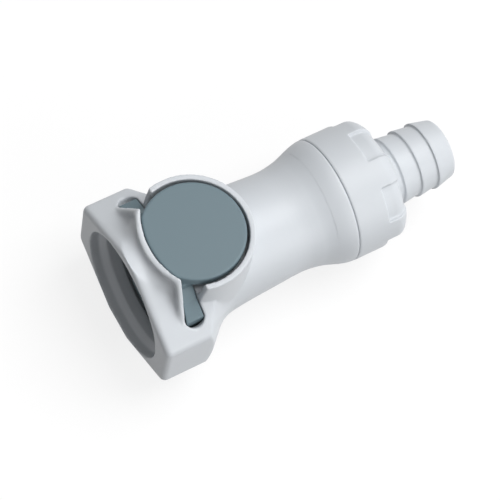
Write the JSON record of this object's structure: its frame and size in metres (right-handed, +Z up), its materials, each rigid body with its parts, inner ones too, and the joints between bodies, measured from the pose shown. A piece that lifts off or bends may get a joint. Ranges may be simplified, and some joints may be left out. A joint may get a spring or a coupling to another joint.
{
  "type": "quick disconnect coupling body",
  "caption": "Valved in-line quick disconnect coupling body with a round thumb latch, six-sided mouth flange and hose barb.",
  "frame": {"origin": "centre of the mouth face, on the flow axis", "axes": "+X along the flow axis from the mouth to the hose barb, +Z up through the middle of the thumb latch"},
  "size_m": [0.0748, 0.0362, 0.033],
  "materials": {
    "body_plastic": "fine satin moulding",
    "latch_plastic": "fine satin moulding",
    "valve_plastic": "satin",
    "spring_steel": "drawn wire",
    "seal_rubber": "smooth"
  },
  "bodies": {
    "housing": {"body_housing": "body_plastic", "barb_cap": "body_plastic", "cap_o_ring": "seal_rubber", "poppet_guide": "valve_plastic", "latch_spring": "spring_steel", "valve_spring": "spring_steel"},
    "latch": {"thumb_latch": "latch_plastic"},
    "valve": {"valve_poppet": "valve_plastic", "poppet_o_ring": "seal_rubber"}
  },
  "joints": [
    {"name": "latch_press", "type": "slide", "parent": "housing", "child": "latch", "axis": [0, 0, -1], "range_m": [0, 0.0022], "stiffness_N_per_m": 1200, "springref_m": -0.003, "deforming": ["latch_spring"]},
    {"name": "valve_open", "type": "slide", "parent": "housing", "child": "valve", "axis": [1, 0, 0], "range_m": [0, 0.004], "stiffness_N_per_m": 800, "springref_m": -0.004, "deforming": ["valve_spring"]}
  ]
}
